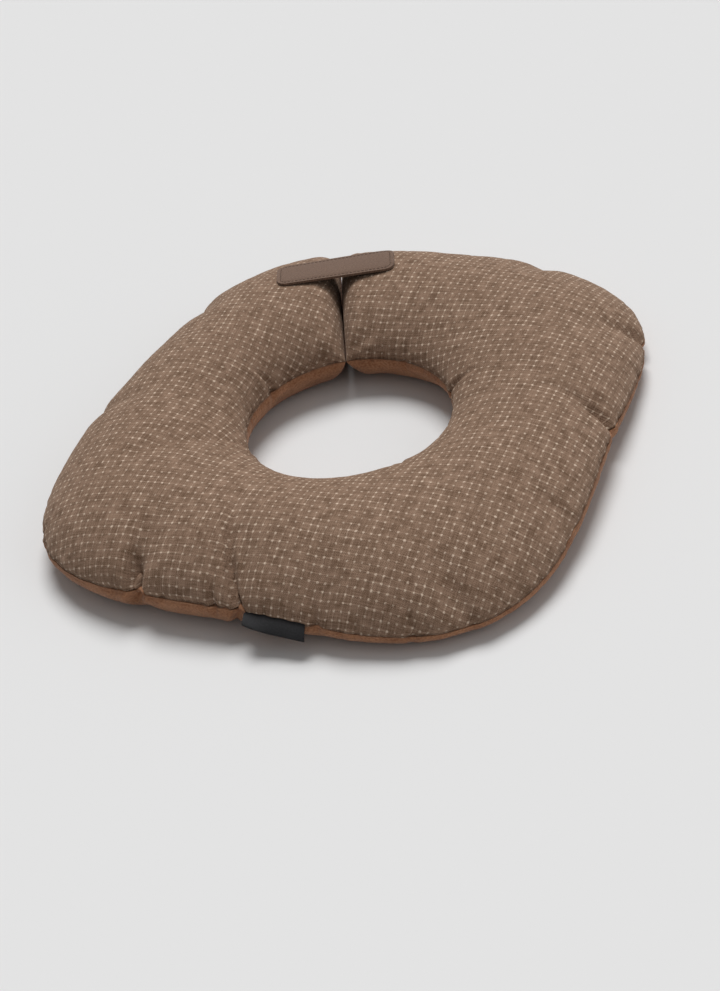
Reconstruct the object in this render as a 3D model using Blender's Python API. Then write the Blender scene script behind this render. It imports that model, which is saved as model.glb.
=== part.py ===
# Soft padded recovery collar: a rounded-square stuffed ring with a round neck hole,
# sewn from an upper and a lower cover, lying flat on its underside.
# Units are metres, +Z is up, +Y is the back of the collar and X runs across it.

import math

import bmesh
import bpy
from mathutils import Matrix, Vector

# Overall size of the ring's outer seam, before the shares in the SIDES table
WIDTH = 0.400
DEPTH = 0.427
SQUARENESS = 3.6
# Neck hole, at its seam
NECK_DIAMETER = 0.152
NECK_SEAM_HEIGHT = 0.027
# Stuffed thickness: crown above the floor, and how the section fills out
CROWN_HEIGHT = 0.054
CROWN_FULLNESS = 2.0
CREST_SHIFT = 0.91
# Height of the outer seam above the floor, and the round shoulders beneath it
OUTER_SEAM_HEIGHT = 0.019
SHOULDER = 0.028
# The two covers keep this distance where they face each other
COVER_GAP = 0.0003

# Opening at the nape, so that the ring can be laid round a neck
SLIT_BEARING = 113.0
SLIT_GAP = 0.0006
SLIT_END_ROUNDING = 0.017

# Closing strap, laid over the slit
STRAP_LENGTH = 0.092
STRAP_WIDTH = 0.038
STRAP_THICKNESS = 0.0022
STRAP_CORNER = 0.008
STRAP_PLACE = 0.60
STRAP_GAP = 0.0004

# Folded woven label, caught in the outer seam
LABEL_LENGTH = 0.045
LABEL_REACH = 0.0105
LABEL_THICKNESS = 0.0016
LABEL_BEARING = 277.0
LABEL_DROOP = 26.0
LABEL_GAP = 0.0004

# Mesh fineness
COLUMN_STEP = 2.0
END_COLUMNS = (0.0, 0.25, 0.8, 1.6, 2.7, 4.1, 5.8, 7.6)
TOP_ROWS = 15
SHOULDER_ROWS = 4

# How the stuffing pushes the ring about: reach is added to the outline's radius as a
# share of it, lift to the outer seam's height and fill to the crown's, both as shares
# of the crown height
SIDES = (
    {"bearing": 0, "reach": 0.001, "lift": 0.09, "fill": -0.08},
    {"bearing": 45, "reach": 0.004, "lift": -0.12, "fill": -0.06},
    {"bearing": 90, "reach": 0.008, "lift": 0.13, "fill": 0.00},
    {"bearing": 135, "reach": -0.060, "lift": -0.07, "fill": 0.06},
    {"bearing": 180, "reach": -0.008, "lift": -0.03, "fill": 0.08},
    {"bearing": 225, "reach": 0.010, "lift": 0.06, "fill": 0.06},
    {"bearing": 270, "reach": 0.008, "lift": 0.08, "fill": 0.00},
    {"bearing": 315, "reach": 0.040, "lift": -0.10, "fill": -0.06},
)

# Dents and seam puckers of the upper cover. place is where the dent is deepest, from
# 0 at the neck seam to 1 at the outer seam, depth a share of the crown height, pull a
# share of the outline's radius, width and length are shares of WIDTH, and slant is how
# far the dent leans aside for each unit of its way from there
DENTS = (
    {"bearing": 249, "place": 1.0, "depth": 0.16, "pull": 0.016, "width": 0.020, "length": 0.09, "slant": 0.35},
    {"bearing": 270, "place": 1.0, "depth": 0.12, "pull": 0.010, "width": 0.020, "length": 0.17, "slant": 0.44},
    {"bearing": 286, "place": 1.0, "depth": 0.07, "pull": 0.005, "width": 0.020, "length": 0.06, "slant": 0.10},
    {"bearing": 309, "place": 1.0, "depth": 0.06, "pull": 0.004, "width": 0.024, "length": 0.07, "slant": 0.00},
    {"bearing": 335, "place": 1.0, "depth": 0.05, "pull": 0.003, "width": 0.026, "length": 0.06, "slant": 0.00},
    {"bearing": 5, "place": 1.0, "depth": 0.11, "pull": 0.009, "width": 0.021, "length": 0.09, "slant": -0.40},
    {"bearing": 36, "place": 1.0, "depth": 0.08, "pull": 0.007, "width": 0.022, "length": 0.07, "slant": -0.30},
    {"bearing": 67, "place": 1.0, "depth": 0.07, "pull": 0.004, "width": 0.028, "length": 0.06, "slant": 0.00},
    {"bearing": 148, "place": 1.0, "depth": 0.08, "pull": 0.005, "width": 0.028, "length": 0.08, "slant": 0.15},
    {"bearing": 188, "place": 1.0, "depth": 0.09, "pull": 0.005, "width": 0.028, "length": 0.10, "slant": -0.10},
    {"bearing": 219, "place": 0.2, "depth": 0.07, "pull": 0.000, "width": 0.036, "length": 0.15, "slant": 0.00},
)

for old in list(bpy.data.objects):
    bpy.data.objects.remove(old)


def around(bearing, column):
    """Smooth value at a bearing from one column of the SIDES table."""
    count = len(SIDES)
    value = 0.0
    for row in SIDES:
        turn = math.radians(bearing - row["bearing"])
        wave = 1.0 + math.cos(count / 2 * turn)
        for order in range(1, count // 2):
            wave += 2.0 * math.cos(order * turn)
        value += row[column] * wave / count
    return value


def turn_between(bearing, other):
    """Signed angle between two bearings, in degrees."""
    return (bearing - other + 180.0) % 360.0 - 180.0


def outline(bearing):
    """Distance of the outer seam from the middle of the neck hole."""
    turn = math.radians(bearing)
    across = abs(math.cos(turn) / (WIDTH / 2)) ** SQUARENESS
    along = abs(math.sin(turn) / (DEPTH / 2)) ** SQUARENESS
    plain = (across + along) ** (-1.0 / SQUARENESS)
    pull = 0.0
    for dent in DENTS:
        beside = plain * math.radians(turn_between(bearing, dent["bearing"]))
        pull += dent["pull"] * math.exp(-(beside / (dent["width"] * WIDTH)) ** 2)
    return plain * (1.0 + around(bearing, "reach") - pull)


def seam_height(bearing):
    return OUTER_SEAM_HEIGHT + around(bearing, "lift") * CROWN_HEIGHT


def plan(bearing, share):
    """Point in plan, from the neck seam (share 0) to the outer seam (share 1)."""
    neck = NECK_DIAMETER / 2
    radius = neck + (outline(bearing) - neck) * share
    turn = math.radians(bearing)
    return radius * math.cos(turn), radius * math.sin(turn)


def seam_level(bearing, share):
    """Height of the flat surface where the two covers face each other."""
    return NECK_SEAM_HEIGHT + (seam_height(bearing) - NECK_SEAM_HEIGHT) * share


def end_rounding(bearing, share):
    """Falls from 1 to 0 at the slit, where each cover is sewn round its end."""
    x, y = plan(bearing, share)
    off = min(abs(turn_between(bearing, SLIT_BEARING)), 90.0)
    beside = math.hypot(x, y) * math.sin(math.radians(off)) - SLIT_GAP / 2
    inside = min(max(beside / SLIT_END_ROUNDING, 0.0), 1.0)
    return math.sqrt(max(1.0 - (1.0 - inside) ** 2, 0.0))


def dent_depth(bearing, share, rise):
    """Depth of the dents and puckers together, where the crown rises so far."""
    wide = outline(bearing) - NECK_DIAMETER / 2
    depth = 0.0
    for dent in DENTS:
        inward = wide * (dent["place"] - share)
        beside = outline(bearing) * math.radians(turn_between(bearing, dent["bearing"]))
        beside += dent["slant"] * math.hypot(inward, rise)
        across = beside / (dent["width"] * WIDTH)
        along = inward / (dent["length"] * WIDTH)
        depth += dent["depth"] * CROWN_HEIGHT * math.exp(-across ** 2 - along ** 2)
    return depth


def crown_level(bearing, share):
    """Height of the upper cover away from the slit."""
    place = share ** CREST_SHIFT
    bulge = math.sqrt(max(1.0 - abs(2.0 * place - 1.0) ** CROWN_FULLNESS, 0.0))
    middle = (NECK_SEAM_HEIGHT + seam_height(bearing)) / 2
    crown = CROWN_HEIGHT * (1.0 + around(bearing, "fill"))
    rise = (crown - middle) * bulge
    rise -= min(dent_depth(bearing, share, rise), 0.7 * rise)
    return seam_level(bearing, share) + rise


def floor_level(bearing, share):
    """Height of the lower cover: flat on the floor between two round shoulders."""
    wide = outline(bearing) - NECK_DIAMETER / 2
    if share > 0.5:
        seam, inward = seam_height(bearing), wide * (1.0 - share)
    else:
        seam, inward = NECK_SEAM_HEIGHT, wide * share
    inside = min(inward / SHOULDER, 1.0)
    return seam * (1.0 - math.sqrt(max(1.0 - (1.0 - inside) ** 2, 0.0)))


def half_slit_angle():
    return math.degrees(SLIT_GAP / 2 / (NECK_DIAMETER / 2))


def column_bearings():
    """Bearings from one side of the slit round to the other, finer at both ends."""
    start = SLIT_BEARING + half_slit_angle()
    stop = SLIT_BEARING + 360.0 - half_slit_angle()
    first = [start + step for step in END_COLUMNS]
    last = [stop - step for step in reversed(END_COLUMNS)]
    count = round((last[0] - first[-1]) / COLUMN_STEP)
    width = (last[0] - first[-1]) / count
    middle = [first[-1] + width * k for k in range(1, count)]
    return first + middle + last


def crown_shares(bearing):
    """Rows of the upper cover, closer together where it turns down to a seam."""
    steps = (math.pi * k / TOP_ROWS for k in range(TOP_ROWS + 1))
    return [((1.0 - math.cos(step)) / 2) ** (1.0 / CREST_SHIFT) for step in steps]


def floor_shares(bearing):
    """Rows of the lower cover, spaced evenly round each shoulder's curve."""
    wide = outline(bearing) - NECK_DIAMETER / 2
    turns = (math.pi / 2 * k / SHOULDER_ROWS for k in range(SHOULDER_ROWS + 1))
    inner = [SHOULDER / wide * (1.0 - math.cos(turn)) for turn in turns]
    return inner + [1.0 - share for share in reversed(inner)]


def padded_half(name, shares, skin, offset):
    """One cover with its stuffing: a curved skin closed by its flat seam face."""
    mesh = bmesh.new()
    skin_rows = []
    seam_rows = []
    for bearing in column_bearings():
        row = []
        for share in shares(bearing):
            x, y = plan(bearing, share)
            level = seam_level(bearing, share)
            z = level + (skin(bearing, share) - level) * end_rounding(bearing, share)
            row.append(mesh.verts.new((x, y, z + offset)))
        skin_rows.append(row)
        seam_rows.append((row[0], row[-1]))
    for left, right in zip(skin_rows, skin_rows[1:]):
        for k in range(len(left) - 1):
            mesh.faces.new((left[k], left[k + 1], right[k + 1], right[k]))
    last = len(seam_rows) - 2
    for k, (left, right) in enumerate(zip(seam_rows, seam_rows[1:])):
        start = skin_rows[0] if k == 0 else list(left)
        stop = skin_rows[-1] if k == last else list(right)
        mesh.faces.new(start + stop[::-1])
    bmesh.ops.recalc_face_normals(mesh, faces=mesh.faces)
    return finish(name, mesh)


def finish(name, mesh):
    data = bpy.data.meshes.new(name)
    mesh.to_mesh(data)
    mesh.free()
    piece = bpy.data.objects.new(name, data)
    bpy.context.collection.objects.link(piece)
    data.shade_smooth()
    data.set_sharp_from_angle(angle=math.radians(40))
    return piece


def painted(piece, name, colour, roughness):
    material = bpy.data.materials.new(name)
    material.use_nodes = True
    surface = material.node_tree.nodes["Principled BSDF"]
    surface.inputs["Base Color"].default_value = (*colour, 1.0)
    surface.inputs["Roughness"].default_value = roughness
    surface.inputs["Metallic"].default_value = 0.0
    piece.data.materials.append(material)
    return piece


def slab(name, lower, upper):
    """Closed solid between two grids of points of the same size."""
    mesh = bmesh.new()
    low = [[mesh.verts.new(point) for point in row] for row in lower]
    high = [[mesh.verts.new(point) for point in row] for row in upper]
    rows, columns = len(low), len(low[0])
    for i in range(rows - 1):
        for k in range(columns - 1):
            mesh.faces.new((high[i][k], high[i][k + 1], high[i + 1][k + 1], high[i + 1][k]))
            mesh.faces.new((low[i][k], low[i + 1][k], low[i + 1][k + 1], low[i][k + 1]))
    edge = [(i, 0) for i in range(rows)]
    edge += [(rows - 1, k) for k in range(1, columns)]
    edge += [(i, columns - 1) for i in range(rows - 2, -1, -1)]
    edge += [(0, k) for k in range(columns - 2, 0, -1)]
    for (i, k), (m, n) in zip(edge, edge[1:] + edge[:1]):
        mesh.faces.new((low[i][k], low[m][n], high[m][n], high[i][k]))
    bmesh.ops.recalc_face_normals(mesh, faces=mesh.faces)
    return finish(name, mesh)


def crown_at(x, y):
    """Height of the upper cover over a point in plan, away from the slit's dip."""
    bearing = math.degrees(math.atan2(y, x))
    neck = NECK_DIAMETER / 2
    share = (math.hypot(x, y) - neck) / (outline(bearing) - neck)
    return crown_level(bearing, min(max(share, 0.0), 1.0))


def closing_strap():
    """Plain strap with rounded corners that bridges the slit along the crown."""
    turn = math.radians(SLIT_BEARING)
    outward = Vector((math.cos(turn), math.sin(turn), 0.0))
    aside = Vector((-outward.y, outward.x, 0.0))
    x, y = plan(SLIT_BEARING, STRAP_PLACE)
    straight = STRAP_LENGTH / 2 - STRAP_CORNER
    corner = [STRAP_CORNER * math.sin(math.pi / 2 * k / 4) for k in range(1, 5)]
    half = [straight * k / 9 for k in range(1, 10)] + [straight + step for step in corner]
    stations = [-step for step in reversed(half)] + [0.0] + half
    lower, upper = [], []
    step = STRAP_THICKNESS / 2
    for station in stations:
        beyond = max(abs(station) - straight, 0.0)
        side = STRAP_WIDTH / 2 - STRAP_CORNER
        side += math.sqrt(max(STRAP_CORNER ** 2 - beyond ** 2, 0.0))
        low_row, high_row = [], []
        for k in range(7):
            point = Vector((x, y, 0.0)) + aside * station + outward * side * (k / 3 - 1)
            rise = crown_at(point.x, point.y)
            along_x = crown_at(point.x + step, point.y) - crown_at(point.x - step, point.y)
            along_y = crown_at(point.x, point.y + step) - crown_at(point.x, point.y - step)
            normal = Vector((-along_x, -along_y, 2 * step)).normalized()
            foot = Vector((point.x, point.y, rise))
            low_row.append(foot + normal * STRAP_GAP)
            high_row.append(foot + normal * (STRAP_GAP + STRAP_THICKNESS))
        lower.append(low_row)
        upper.append(high_row)
    return slab("closing_strap", lower, upper)


def seam_label():
    """Folded tape hanging from the outer seam, its fold rounded and outermost."""
    turn = math.radians(LABEL_BEARING)
    middle = Vector((*plan(LABEL_BEARING, 1.0), seam_height(LABEL_BEARING)))
    step = math.degrees(LABEL_LENGTH / 2 / outline(LABEL_BEARING))
    before = Vector((*plan(LABEL_BEARING - step, 1.0), seam_height(LABEL_BEARING - step)))
    after = Vector((*plan(LABEL_BEARING + step, 1.0), seam_height(LABEL_BEARING + step)))
    along = (after - before).normalized()
    level = Vector((along.y, -along.x, 0.0)).normalized()
    droop = math.radians(LABEL_DROOP)
    outward = level * math.cos(droop) - Vector((0, 0, 1)) * math.sin(droop)
    thick = along.cross(outward).normalized()
    root = LABEL_GAP + seam_bow(middle, along, level)
    half = LABEL_THICKNESS / 2
    fold = [(LABEL_REACH - half + half * math.sin(a), half * math.cos(a))
            for a in (math.pi * k / 6 for k in range(7))]
    section = [(root, half)] + fold + [(root, -half)]
    mesh = bmesh.new()
    ends = []
    for side in (-LABEL_LENGTH / 2, LABEL_LENGTH / 2):
        ring = [mesh.verts.new(middle + along * side + outward * out + thick * up)
                for out, up in section]
        ends.append(ring)
    count = len(section)
    for k in range(count):
        n = (k + 1) % count
        mesh.faces.new((ends[0][k], ends[0][n], ends[1][n], ends[1][k]))
    mesh.faces.new(ends[0])
    mesh.faces.new(ends[1][::-1])
    bmesh.ops.recalc_face_normals(mesh, faces=mesh.faces)
    return finish("side_label", mesh)


def seam_bow(middle, along, level):
    """How far the covers stand out beyond the label's straight root."""
    farthest = 0.0
    for k in range(-40, 41):
        bearing = LABEL_BEARING + k * 0.5
        x, y = plan(bearing, 1.0)
        point = Vector((x, y, seam_height(bearing))) - middle
        if abs(point.dot(along)) < LABEL_LENGTH / 2 + 0.002:
            farthest = max(farthest, point.dot(level))
    return farthest


pieces = [
    painted(padded_half("upper_cover", crown_shares, crown_level, COVER_GAP / 2),
            "taupe_check_fabric", (0.21, 0.14, 0.10), 0.9),
    painted(padded_half("lower_cover", floor_shares, floor_level, -COVER_GAP / 2),
            "rust_fabric", (0.27, 0.12, 0.07), 0.9),
    painted(closing_strap(), "strap_webbing", (0.16, 0.11, 0.08), 0.85),
    painted(seam_label(), "label_tape", (0.016, 0.015, 0.018), 0.7),
]

# The middle of the whole collar's box, on the floor, becomes the origin
corners = [vertex.co for piece in pieces for vertex in piece.data.vertices]
middle_x = (min(v.x for v in corners) + max(v.x for v in corners)) / 2
middle_y = (min(v.y for v in corners) + max(v.y for v in corners)) / 2
lowest = min(v.z for v in corners)
to_origin = Matrix.Translation((-middle_x, -middle_y, -lowest))
for piece in pieces:
    piece.data.transform(to_origin)
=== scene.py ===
"""Soft padded recovery collar: a stuffed, rounded-square fabric ring lying on the floor."""

import math
import random

import bmesh
import bpy
from mathutils import Matrix, Vector, noise
from mathutils.bvhtree import BVHTree


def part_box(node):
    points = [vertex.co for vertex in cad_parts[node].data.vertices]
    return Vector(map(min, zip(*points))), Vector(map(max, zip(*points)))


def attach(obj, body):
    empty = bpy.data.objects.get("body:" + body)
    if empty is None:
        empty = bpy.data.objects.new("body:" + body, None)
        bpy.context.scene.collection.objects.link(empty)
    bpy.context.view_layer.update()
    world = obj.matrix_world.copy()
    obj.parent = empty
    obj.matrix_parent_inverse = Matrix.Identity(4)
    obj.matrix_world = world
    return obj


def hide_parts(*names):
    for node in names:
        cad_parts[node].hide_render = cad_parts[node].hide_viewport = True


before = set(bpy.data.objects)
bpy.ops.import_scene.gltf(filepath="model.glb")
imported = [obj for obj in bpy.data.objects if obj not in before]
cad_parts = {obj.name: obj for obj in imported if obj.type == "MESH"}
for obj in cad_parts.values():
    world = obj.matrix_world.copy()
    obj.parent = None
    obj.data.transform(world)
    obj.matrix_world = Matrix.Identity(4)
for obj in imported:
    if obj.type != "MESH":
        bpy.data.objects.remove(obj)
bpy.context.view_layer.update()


# The stuffed ring
# Two fabric covers sewn together round the outside, round the neck hole and round both
# ends of the slit, and filled with loose fibre. These are the sizes of its form, and the
# stuffing and the puckered seams push it about as the two tables say.
WIDTH = 0.400
DEPTH = 0.427
SQUARENESS = 3.6
NECK_DIAMETER = 0.152
NECK_SEAM_HEIGHT = 0.027
CROWN_HEIGHT = 0.054
CROWN_FULLNESS = 2.0
CREST_SHIFT = 0.91
OUTER_SEAM_HEIGHT = 0.019
SHOULDER = 0.028
COVER_GAP = 0.0003
SLIT_BEARING = 113.0
SLIT_GAP = 0.0006
SLIT_END_ROUNDING = 0.017

SIDES = (
    {"bearing": 0, "reach": 0.001, "lift": 0.09, "fill": -0.08},
    {"bearing": 45, "reach": 0.004, "lift": -0.12, "fill": -0.06},
    {"bearing": 90, "reach": 0.008, "lift": 0.13, "fill": 0.00},
    {"bearing": 135, "reach": -0.060, "lift": -0.07, "fill": 0.06},
    {"bearing": 180, "reach": -0.008, "lift": -0.03, "fill": 0.08},
    {"bearing": 225, "reach": 0.010, "lift": 0.06, "fill": 0.06},
    {"bearing": 270, "reach": 0.008, "lift": 0.08, "fill": 0.00},
    {"bearing": 315, "reach": 0.040, "lift": -0.10, "fill": -0.06},
)
DENTS = (
    {"bearing": 249, "place": 1.0, "depth": 0.16, "pull": 0.016, "width": 0.020, "length": 0.09, "slant": 0.35},
    {"bearing": 270, "place": 1.0, "depth": 0.12, "pull": 0.010, "width": 0.020, "length": 0.17, "slant": 0.44},
    {"bearing": 286, "place": 1.0, "depth": 0.07, "pull": 0.005, "width": 0.020, "length": 0.06, "slant": 0.10},
    {"bearing": 309, "place": 1.0, "depth": 0.06, "pull": 0.004, "width": 0.024, "length": 0.07, "slant": 0.00},
    {"bearing": 335, "place": 1.0, "depth": 0.05, "pull": 0.003, "width": 0.026, "length": 0.06, "slant": 0.00},
    {"bearing": 5, "place": 1.0, "depth": 0.11, "pull": 0.009, "width": 0.021, "length": 0.09, "slant": -0.40},
    {"bearing": 36, "place": 1.0, "depth": 0.08, "pull": 0.007, "width": 0.022, "length": 0.07, "slant": -0.30},
    {"bearing": 67, "place": 1.0, "depth": 0.07, "pull": 0.004, "width": 0.028, "length": 0.06, "slant": 0.00},
    {"bearing": 148, "place": 1.0, "depth": 0.08, "pull": 0.005, "width": 0.028, "length": 0.08, "slant": 0.15},
    {"bearing": 188, "place": 1.0, "depth": 0.09, "pull": 0.005, "width": 0.028, "length": 0.10, "slant": -0.10},
    {"bearing": 219, "place": 0.2, "depth": 0.07, "pull": 0.000, "width": 0.036, "length": 0.15, "slant": 0.00},
)


def turn_between(bearing, other):
    """Signed angle between two bearings, in degrees."""
    return (bearing - other + 180.0) % 360.0 - 180.0


def around(bearing, column):
    """Smooth value at a bearing from one column of the SIDES table."""
    count = len(SIDES)
    value = 0.0
    for row in SIDES:
        turn = math.radians(bearing - row["bearing"])
        wave = 1.0 + math.cos(count / 2 * turn)
        for order in range(1, count // 2):
            wave += 2.0 * math.cos(order * turn)
        value += row[column] * wave / count
    return value


def outline(bearing):
    """Distance of the outer seam from the middle of the neck hole."""
    turn = math.radians(bearing)
    across = abs(math.cos(turn) / (WIDTH / 2)) ** SQUARENESS
    along = abs(math.sin(turn) / (DEPTH / 2)) ** SQUARENESS
    plain = (across + along) ** (-1.0 / SQUARENESS)
    pull = 0.0
    for dent in DENTS:
        beside = plain * math.radians(turn_between(bearing, dent["bearing"]))
        pull += dent["pull"] * math.exp(-(beside / (dent["width"] * WIDTH)) ** 2)
    return plain * (1.0 + around(bearing, "reach") - pull)


def seam_height(bearing):
    return OUTER_SEAM_HEIGHT + around(bearing, "lift") * CROWN_HEIGHT


# Each column is one radial section of the ring, with what depends on its bearing alone
SLIT_HALF_ANGLE = math.degrees(SLIT_GAP / NECK_DIAMETER)
COLUMN_STEP = 0.75
END_STEPS = (0.0, 0.15, 0.45, 0.9, 1.5, 2.3)

shift = Vector((0.0, 0.0, 0.0))


def ring_columns():
    first = [SLIT_BEARING + SLIT_HALF_ANGLE + step for step in END_STEPS]
    last = [SLIT_BEARING + 360.0 - SLIT_HALF_ANGLE - step for step in reversed(END_STEPS)]
    count = round((last[0] - first[-1]) / COLUMN_STEP)
    step = (last[0] - first[-1]) / count
    bearings = first + [first[-1] + step * k for k in range(1, count)] + last
    columns = []
    for bearing in bearings:
        reach = outline(bearing)
        dents = []
        for dent in DENTS:
            beside = reach * math.radians(turn_between(bearing, dent["bearing"]))
            if abs(beside) < 6.0 * dent["width"] * WIDTH:
                dents.append((dent, beside))
        columns.append({
            "bearing": bearing,
            "cos": math.cos(math.radians(bearing)),
            "sin": math.sin(math.radians(bearing)),
            "reach": reach,
            "wide": reach - NECK_DIAMETER / 2,
            "seam": seam_height(bearing),
            "crown": CROWN_HEIGHT * (1.0 + around(bearing, "fill")),
            "off_slit": min(abs(turn_between(bearing, SLIT_BEARING)), 90.0),
            "dents": dents,
        })
    return columns


def end_rounding(column, share):
    """Falls from 1 to 0 at the slit, where each cover is sewn round its end."""
    radius = NECK_DIAMETER / 2 + column["wide"] * share
    beside = radius * math.sin(math.radians(column["off_slit"])) - SLIT_GAP / 2
    inside = min(max(beside / SLIT_END_ROUNDING, 0.0), 1.0)
    return math.sqrt(max(1.0 - (1.0 - inside) ** 2, 0.0))


def crown_rise(column, share):
    """How far the upper cover stands above the seams' level."""
    place = share ** CREST_SHIFT
    bulge = math.sqrt(max(1.0 - abs(2.0 * place - 1.0) ** CROWN_FULLNESS, 0.0))
    rise = (column["crown"] - (NECK_SEAM_HEIGHT + column["seam"]) / 2) * bulge
    depth = 0.0
    for dent, beside in column["dents"]:
        inward = column["wide"] * (dent["place"] - share)
        leaning = beside + dent["slant"] * math.hypot(inward, rise)
        across = leaning / (dent["width"] * WIDTH)
        along = inward / (dent["length"] * WIDTH)
        depth += dent["depth"] * CROWN_HEIGHT * math.exp(-across ** 2 - along ** 2)
    return rise - min(depth, 0.7 * rise)


def floor_drop(column, share):
    """How far the lower cover reaches below the seams' level, down to the floor."""
    if share > 0.5:
        seam, inward = column["seam"], column["wide"] * (1.0 - share)
    else:
        seam, inward = NECK_SEAM_HEIGHT, column["wide"] * share
    inside = min(inward / SHOULDER, 1.0)
    level = NECK_SEAM_HEIGHT + (column["seam"] - NECK_SEAM_HEIGHT) * share
    return seam * (1.0 - math.sqrt(max(1.0 - (1.0 - inside) ** 2, 0.0))) - level


# The sewn edges are gathered: each small pleat starts at a seam and fades inwards
GATHERS = 96
NECK_GATHERS = 44
dice = random.Random(11)


def gathers(count, widths, depths, lengths):
    pleats = []
    for k in range(count):
        pleats.append({
            "bearing": 360.0 * (k + dice.uniform(-0.42, 0.42)) / count,
            "width": dice.uniform(*widths),
            "depth": dice.uniform(*depths),
            "upper": dice.uniform(*lengths),
            "lower": dice.uniform(*lengths) * 0.8,
        })
    return pleats


outer_pleats = gathers(GATHERS, (0.0018, 0.0042), (0.0003, 0.0012), (0.006, 0.022))
neck_pleats = gathers(NECK_GATHERS, (0.0016, 0.0030), (0.0003, 0.0009), (0.005, 0.014))


# Where the stitching has caught a fold, a crease runs in from the seam. Slant is how far
# it leans aside for each unit of its way, and its lips stand up a little on both sides
CREASES = (
    {"seam": "outer", "bearing": 249, "depth": 0.0086, "width": 0.0032, "length": 0.030, "slant": 0.42},
    {"seam": "outer", "bearing": 265, "depth": 0.0036, "width": 0.0022, "length": 0.028, "slant": 0.20},
    {"seam": "outer", "bearing": 270, "depth": 0.0064, "width": 0.0026, "length": 0.062, "slant": 0.44},
    {"seam": "outer", "bearing": 285, "depth": 0.0036, "width": 0.0024, "length": 0.020, "slant": 0.10},
    {"seam": "outer", "bearing": 301, "depth": 0.0018, "width": 0.0024, "length": 0.018, "slant": 0.00},
    {"seam": "outer", "bearing": 5, "depth": 0.0060, "width": 0.0028, "length": 0.028, "slant": -0.40},
    {"seam": "outer", "bearing": 36, "depth": 0.0044, "width": 0.0028, "length": 0.024, "slant": -0.30},
    {"seam": "outer", "bearing": 66, "depth": 0.0026, "width": 0.0028, "length": 0.022, "slant": 0.15},
    {"seam": "outer", "bearing": 147, "depth": 0.0028, "width": 0.0028, "length": 0.026, "slant": 0.20},
    {"seam": "outer", "bearing": 188, "depth": 0.0030, "width": 0.0030, "length": 0.030, "slant": -0.20},
    {"seam": "outer", "bearing": 221, "depth": 0.0022, "width": 0.0026, "length": 0.022, "slant": 0.10},
    {"seam": "neck", "bearing": 33, "depth": 0.0028, "width": 0.0024, "length": 0.026, "slant": 0.25},
    {"seam": "neck", "bearing": 78, "depth": 0.0020, "width": 0.0024, "length": 0.018, "slant": 0.00},
    {"seam": "neck", "bearing": 160, "depth": 0.0024, "width": 0.0026, "length": 0.022, "slant": -0.20},
    {"seam": "neck", "bearing": 226, "depth": 0.0024, "width": 0.0026, "length": 0.026, "slant": 0.15},
    {"seam": "neck", "bearing": 318, "depth": 0.0020, "width": 0.0024, "length": 0.020, "slant": 0.00},
)
CREASE_LIP = 0.22
SEAM_HOLD = 0.3
SEAM_HOLD_REACH = 0.003


def creased(bearing, from_outer, from_neck, side):
    """Depth of the caught creases at a point; on the lower cover they are short."""
    depth = 0.0
    for crease in CREASES:
        outer = crease["seam"] == "outer"
        inward = from_outer if outer else from_neck
        radius = WIDTH / 2 * 1.05 if outer else NECK_DIAMETER / 2 + from_neck
        beside = radius * math.radians(turn_between(bearing, crease["bearing"]))
        across = abs(beside + crease["slant"] * inward) / crease["width"]
        along = inward / (crease["length"] if side == "upper" else crease["length"] * 0.35)
        if across < 6.0 and along < 3.0:
            fold = math.exp(-across ** 1.5) - CREASE_LIP * math.exp(-(across - 2.3) ** 2)
            held = 1.0 - SEAM_HOLD * math.exp(-inward / SEAM_HOLD_REACH)
            depth += crease["depth"] * fold * held * math.exp(-along ** 2)
    return depth


SEAM_PINCH = 0.0014
SEAM_PINCH_WIDTH = 0.0024


def gathered(pleats, bearing, radius, inward, side):
    """Depth of the small pleats at a point, given how far it lies from their seam."""
    depth = 0.0
    if inward > 0.06:
        return depth
    for pleat in pleats:
        beside = radius * math.radians(turn_between(bearing, pleat["bearing"])) / pleat["width"]
        if abs(beside) < 3.0:
            depth += pleat["depth"] * math.exp(-beside ** 2 - inward / pleat[side])
    return depth


def relief(point, bearing, from_outer, from_neck, side):
    """How far the fabric stands off its filled form: pinched seams, pleats and lumps."""
    off = -SEAM_PINCH * math.exp(-(from_outer / SEAM_PINCH_WIDTH) ** 2)
    off -= SEAM_PINCH * math.exp(-(from_neck / SEAM_PINCH_WIDTH) ** 2)
    reach = WIDTH / 2 * 1.05
    off -= gathered(outer_pleats, bearing, reach, from_outer, side)
    off -= gathered(neck_pleats, bearing, NECK_DIAMETER / 2, from_neck, side)
    off -= creased(bearing, from_outer, from_neck, side)
    settle = 1.0 - math.exp(-min(from_outer, from_neck) / 0.012)
    off += 0.0014 * settle * noise.noise(point * 21.0)
    off += 0.0004 * settle * noise.noise(point * 62.0)
    off_slit = min(abs(turn_between(bearing, SLIT_BEARING)), 90.0)
    beside = math.radians(off_slit) * (NECK_DIAMETER / 2 + from_neck)
    return off * min(beside / 0.008, 1.0)


columns = ring_columns()
# The frame's own upper cover says where the middle of the neck hole lies
low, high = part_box("upper_cover")
across = [column["reach"] * column["cos"] for column in columns]
along = [column["reach"] * column["sin"] for column in columns]
shift = Vector((
    (low[0] + high[0] - min(across) - max(across)) / 2,
    (low[1] + high[1] - min(along) - max(along)) / 2,
    0.0,
))


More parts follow.
